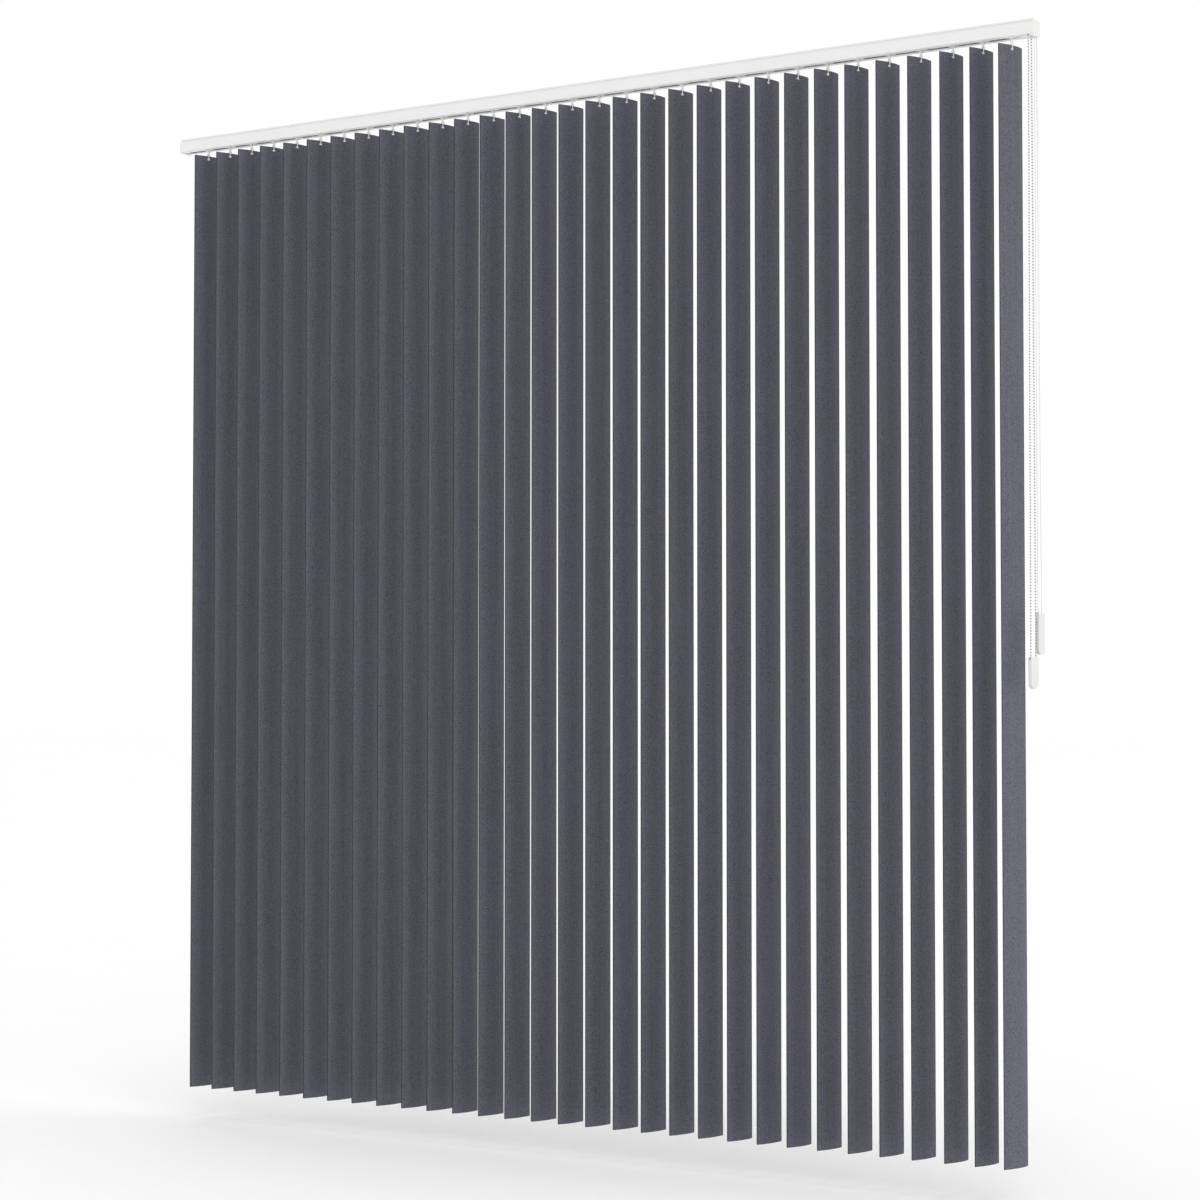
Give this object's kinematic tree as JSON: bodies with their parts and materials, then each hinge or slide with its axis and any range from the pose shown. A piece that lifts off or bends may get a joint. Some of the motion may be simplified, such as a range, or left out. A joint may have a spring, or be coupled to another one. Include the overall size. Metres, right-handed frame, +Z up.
{
  "type": "vertical blind",
  "caption": "Vertical blind: a ceiling headrail with hanging bowed slats that turn together on a bead chain, and a pull cord loop with its weight.",
  "frame": {"origin": "centre of the headrail's top face, which is fixed to the ceiling", "axes": "+X along the headrail towards the controls, +Y towards the window, +Z up"},
  "size_m": [2.7393, 0.0851, 2.8181],
  "materials": {
    "slat_vinyl": "slate-grey embossed vinyl sheet with a fine grain",
    "rail_enamel": "white satin enamel on aluminium",
    "white_plastic": "white moulded plastic",
    "carrier_plastic": "white nylon moulding",
    "link_plastic": "thin clear-white strip",
    "weight_plastic": "white glossy moulding",
    "bead_plastic": "white plastic beads on a string",
    "white_cord": "white braided cord",
    "rod_aluminium": "extruded fluted bar",
    "steel_pin": "plain turned pin"
  },
  "bodies": {
    "rail": {"headrail": "rail_enamel", "end_cap": "white_plastic", "rod_bush": "white_plastic", "return_pin": "steel_pin", "control_housing": "white_plastic", "pulley_axle": "steel_pin", "carriers": "carrier_plastic", "carrier_wheels": "carrier_plastic", "spacer_links": "link_plastic", "traverse_cord": "white_cord", "pull_cord": "white_cord", "cord_weight": "weight_plastic", "weight_pin": "steel_pin", "bead_chain": "bead_plastic", "chain_weight": "weight_plastic"},
    "tilt_shaft": {"tilt_rod": "rod_aluminium", "worms": "carrier_plastic", "chain_sprocket": "white_plastic"},
    "return_pulley": {"return_pulley": "white_plastic"},
    "cord_pulley_front": {"cord_pulley_front": "white_plastic"},
    "cord_pulley_rear": {"cord_pulley_rear": "white_plastic"},
    "weight_pulley": {"weight_pulley": "white_plastic"},
    "slat_01": {"slat_01": "slat_vinyl"},
    "slat_02": {"slat_02": "slat_vinyl"},
    "slat_03": {"slat_03": "slat_vinyl"},
    "slat_04": {"slat_04": "slat_vinyl"},
    "slat_05": {"slat_05": "slat_vinyl"},
    "slat_06": {"slat_06": "slat_vinyl"},
    "slat_07": {"slat_07": "slat_vinyl"},
    "slat_08": {"slat_08": "slat_vinyl"},
    "slat_09": {"slat_09": "slat_vinyl"},
    "slat_10": {"slat_10": "slat_vinyl"},
    "slat_11": {"slat_11": "slat_vinyl"},
    "slat_12": {"slat_12": "slat_vinyl"},
    "slat_13": {"slat_13": "slat_vinyl"},
    "slat_14": {"slat_14": "slat_vinyl"},
    "slat_15": {"slat_15": "slat_vinyl"},
    "slat_16": {"slat_16": "slat_vinyl"},
    "slat_17": {"slat_17": "slat_vinyl"},
    "slat_18": {"slat_18": "slat_vinyl"},
    "slat_19": {"slat_19": "slat_vinyl"},
    "slat_20": {"slat_20": "slat_vinyl"},
    "slat_21": {"slat_21": "slat_vinyl"},
    "slat_22": {"slat_22": "slat_vinyl"},
    "slat_23": {"slat_23": "slat_vinyl"},
    "slat_24": {"slat_24": "slat_vinyl"},
    "slat_25": {"slat_25": "slat_vinyl"},
    "slat_26": {"slat_26": "slat_vinyl"},
    "slat_27": {"slat_27": "slat_vinyl"},
    "slat_28": {"slat_28": "slat_vinyl"},
    "slat_29": {"slat_29": "slat_vinyl"},
    "slat_30": {"slat_30": "slat_vinyl"},
    "slat_31": {"slat_31": "slat_vinyl"}
  },
  "joints": [
    {"name": "slat_01_tilt", "type": "hinge", "parent": "rail", "child": "slat_01", "pos_m": [-1.27745, 0, -0.0547], "axis": [0, 0, 1], "range_deg": [-68, 103]},
    {"name": "slat_02_tilt", "type": "hinge", "parent": "rail", "child": "slat_02", "pos_m": [-1.19465, 0, -0.0547], "axis": [0, 0, 1], "range_deg": [-68, 103]},
    {"name": "slat_03_tilt", "type": "hinge", "parent": "rail", "child": "slat_03", "pos_m": [-1.11185, 0, -0.0547], "axis": [0, 0, 1], "range_deg": [-68, 103]},
    {"name": "slat_04_tilt", "type": "hinge", "parent": "rail", "child": "slat_04", "pos_m": [-1.02905, 0, -0.0547], "axis": [0, 0, 1], "range_deg": [-68, 103]},
    {"name": "slat_05_tilt", "type": "hinge", "parent": "rail", "child": "slat_05", "pos_m": [-0.94235, 0, -0.0547], "axis": [0, 0, 1], "range_deg": [-68, 103]},
    {"name": "slat_06_tilt", "type": "hinge", "parent": "rail", "child": "slat_06", "pos_m": [-0.85565, 0, -0.0547], "axis": [0, 0, 1], "range_deg": [-68, 103]},
    {"name": "slat_07_tilt", "type": "hinge", "parent": "rail", "child": "slat_07", "pos_m": [-0.76895, 0, -0.0547], "axis": [0, 0, 1], "range_deg": [-68, 103]},
    {"name": "slat_08_tilt", "type": "hinge", "parent": "rail", "child": "slat_08", "pos_m": [-0.68225, 0, -0.0547], "axis": [0, 0, 1], "range_deg": [-68, 103]},
    {"name": "slat_09_tilt", "type": "hinge", "parent": "rail", "child": "slat_09", "pos_m": [-0.59555, 0, -0.0547], "axis": [0, 0, 1], "range_deg": [-68, 103]},
    {"name": "slat_10_tilt", "type": "hinge", "parent": "rail", "child": "slat_10", "pos_m": [-0.50885, 0, -0.0547], "axis": [0, 0, 1], "range_deg": [-68, 103]},
    {"name": "slat_11_tilt", "type": "hinge", "parent": "rail", "child": "slat_11", "pos_m": [-0.42215, 0, -0.0547], "axis": [0, 0, 1], "range_deg": [-68, 103]},
    {"name": "slat_12_tilt", "type": "hinge", "parent": "rail", "child": "slat_12", "pos_m": [-0.33545, 0, -0.0547], "axis": [0, 0, 1], "range_deg": [-68, 103]},
    {"name": "slat_13_tilt", "type": "hinge", "parent": "rail", "child": "slat_13", "pos_m": [-0.24875, 0, -0.0547], "axis": [0, 0, 1], "range_deg": [-68, 103]},
    {"name": "slat_14_tilt", "type": "hinge", "parent": "rail", "child": "slat_14", "pos_m": [-0.16205, 0, -0.0547], "axis": [0, 0, 1], "range_deg": [-68, 103]},
    {"name": "slat_15_tilt", "type": "hinge", "parent": "rail", "child": "slat_15", "pos_m": [-0.07535, 0, -0.0547], "axis": [0, 0, 1], "range_deg": [-68, 103]},
    {"name": "slat_16_tilt", "type": "hinge", "parent": "rail", "child": "slat_16", "pos_m": [0.01135, 0, -0.0547], "axis": [0, 0, 1], "range_deg": [-68, 103]},
    {"name": "slat_17_tilt", "type": "hinge", "parent": "rail", "child": "slat_17", "pos_m": [0.09805, 0, -0.0547], "axis": [0, 0, 1], "range_deg": [-68, 103]},
    {"name": "slat_18_tilt", "type": "hinge", "parent": "rail", "child": "slat_18", "pos_m": [0.18475, 0, -0.0547], "axis": [0, 0, 1], "range_deg": [-68, 103]},
    {"name": "slat_19_tilt", "type": "hinge", "parent": "rail", "child": "slat_19", "pos_m": [0.27145, 0, -0.0547], "axis": [0, 0, 1], "range_deg": [-68, 103]},
    {"name": "slat_20_tilt", "type": "hinge", "parent": "rail", "child": "slat_20", "pos_m": [0.35815, 0, -0.0547], "axis": [0, 0, 1], "range_deg": [-68, 103]},
    {"name": "slat_21_tilt", "type": "hinge", "parent": "rail", "child": "slat_21", "pos_m": [0.44485, 0, -0.0547], "axis": [0, 0, 1], "range_deg": [-68, 103]},
    {"name": "slat_22_tilt", "type": "hinge", "parent": "rail", "child": "slat_22", "pos_m": [0.53155, 0, -0.0547], "axis": [0, 0, 1], "range_deg": [-68, 103]},
    {"name": "slat_23_tilt", "type": "hinge", "parent": "rail", "child": "slat_23", "pos_m": [0.61825, 0, -0.0547], "axis": [0, 0, 1], "range_deg": [-68, 103]},
    {"name": "slat_24_tilt", "type": "hinge", "parent": "rail", "child": "slat_24", "pos_m": [0.70495, 0, -0.0547], "axis": [0, 0, 1], "range_deg": [-68, 103]},
    {"name": "slat_25_tilt", "type": "hinge", "parent": "rail", "child": "slat_25", "pos_m": [0.79165, 0, -0.0547], "axis": [0, 0, 1], "range_deg": [-68, 103]},
    {"name": "slat_26_tilt", "type": "hinge", "parent": "rail", "child": "slat_26", "pos_m": [0.87835, 0, -0.0547], "axis": [0, 0, 1], "range_deg": [-68, 103]},
    {"name": "slat_27_tilt", "type": "hinge", "parent": "rail", "child": "slat_27", "pos_m": [0.96645, 0, -0.0547], "axis": [0, 0, 1], "range_deg": [-68, 103]},
    {"name": "slat_28_tilt", "type": "hinge", "parent": "rail", "child": "slat_28", "pos_m": [1.05455, 0, -0.0547], "axis": [0, 0, 1], "range_deg": [-68, 103]},
    {"name": "slat_29_tilt", "type": "hinge", "parent": "rail", "child": "slat_29", "pos_m": [1.14265, 0, -0.0547], "axis": [0, 0, 1], "range_deg": [-68, 103]},
    {"name": "slat_30_tilt", "type": "hinge", "parent": "rail", "child": "slat_30", "pos_m": [1.22425, 0, -0.0547], "axis": [0, 0, 1], "range_deg": [-68, 103]},
    {"name": "slat_31_tilt", "type": "hinge", "parent": "rail", "child": "slat_31", "pos_m": [1.30115, 0, -0.0547], "axis": [0, 0, 1], "range_deg": [-68, 103]},
    {"name": "tilt_shaft_turn", "type": "hinge", "parent": "rail", "child": "tilt_shaft", "pos_m": [0, -0.0095, -0.021], "axis": [1, 0, 0], "range_deg": [-680, 1030]},
    {"name": "return_pulley_turn", "type": "hinge", "parent": "rail", "child": "return_pulley", "pos_m": [-1.35185, 0.01, -0.0045], "axis": [0, 0, 1], "continuous": true},
    {"name": "cord_pulley_front_turn", "type": "hinge", "parent": "rail", "child": "cord_pulley_front", "pos_m": [1.35425, 0.003, -0.0095], "axis": [0, 1, 0], "continuous": true},
    {"name": "cord_pulley_rear_turn", "type": "hinge", "parent": "rail", "child": "cord_pulley_rear", "pos_m": [1.35425, 0.017, -0.0095], "axis": [0, 1, 0], "continuous": true},
    {"name": "weight_pulley_turn", "type": "hinge", "parent": "rail", "child": "weight_pulley", "pos_m": [1.36085, 0.0136, -1.5532], "axis": [0.9511, -0.309, 0], "continuous": true}
  ],
  "couplings": [
    {"joint": "slat_01_tilt", "follows": "slat_16_tilt", "ratio": 1},
    {"joint": "slat_02_tilt", "follows": "slat_16_tilt", "ratio": 1},
    {"joint": "slat_03_tilt", "follows": "slat_16_tilt", "ratio": 1},
    {"joint": "slat_04_tilt", "follows": "slat_16_tilt", "ratio": 1},
    {"joint": "slat_05_tilt", "follows": "slat_16_tilt", "ratio": 1},
    {"joint": "slat_06_tilt", "follows": "slat_16_tilt", "ratio": 1},
    {"joint": "slat_07_tilt", "follows": "slat_16_tilt", "ratio": 1},
    {"joint": "slat_08_tilt", "follows": "slat_16_tilt", "ratio": 1},
    {"joint": "slat_09_tilt", "follows": "slat_16_tilt", "ratio": 1},
    {"joint": "slat_10_tilt", "follows": "slat_16_tilt", "ratio": 1},
    {"joint": "slat_11_tilt", "follows": "slat_16_tilt", "ratio": 1},
    {"joint": "slat_12_tilt", "follows": "slat_16_tilt", "ratio": 1},
    {"joint": "slat_13_tilt", "follows": "slat_16_tilt", "ratio": 1},
    {"joint": "slat_14_tilt", "follows": "slat_16_tilt", "ratio": 1},
    {"joint": "slat_15_tilt", "follows": "slat_16_tilt", "ratio": 1},
    {"joint": "slat_17_tilt", "follows": "slat_16_tilt", "ratio": 1},
    {"joint": "slat_18_tilt", "follows": "slat_16_tilt", "ratio": 1},
    {"joint": "slat_19_tilt", "follows": "slat_16_tilt", "ratio": 1},
    {"joint": "slat_20_tilt", "follows": "slat_16_tilt", "ratio": 1},
    {"joint": "slat_21_tilt", "follows": "slat_16_tilt", "ratio": 1},
    {"joint": "slat_22_tilt", "follows": "slat_16_tilt", "ratio": 1},
    {"joint": "slat_23_tilt", "follows": "slat_16_tilt", "ratio": 1},
    {"joint": "slat_24_tilt", "follows": "slat_16_tilt", "ratio": 1},
    {"joint": "slat_25_tilt", "follows": "slat_16_tilt", "ratio": 1},
    {"joint": "slat_26_tilt", "follows": "slat_16_tilt", "ratio": 1},
    {"joint": "slat_27_tilt", "follows": "slat_16_tilt", "ratio": 1},
    {"joint": "slat_28_tilt", "follows": "slat_16_tilt", "ratio": 1},
    {"joint": "slat_29_tilt", "follows": "slat_16_tilt", "ratio": 1},
    {"joint": "slat_30_tilt", "follows": "slat_16_tilt", "ratio": 1},
    {"joint": "slat_31_tilt", "follows": "slat_16_tilt", "ratio": 1},
    {"joint": "tilt_shaft_turn", "follows": "slat_16_tilt", "ratio": 10},
    {"joint": "cord_pulley_front_turn", "follows": "return_pulley_turn", "ratio": 1.4},
    {"joint": "cord_pulley_rear_turn", "follows": "return_pulley_turn", "ratio": -1.4},
    {"joint": "weight_pulley_turn", "follows": "return_pulley_turn", "ratio": 1}
  ]
}
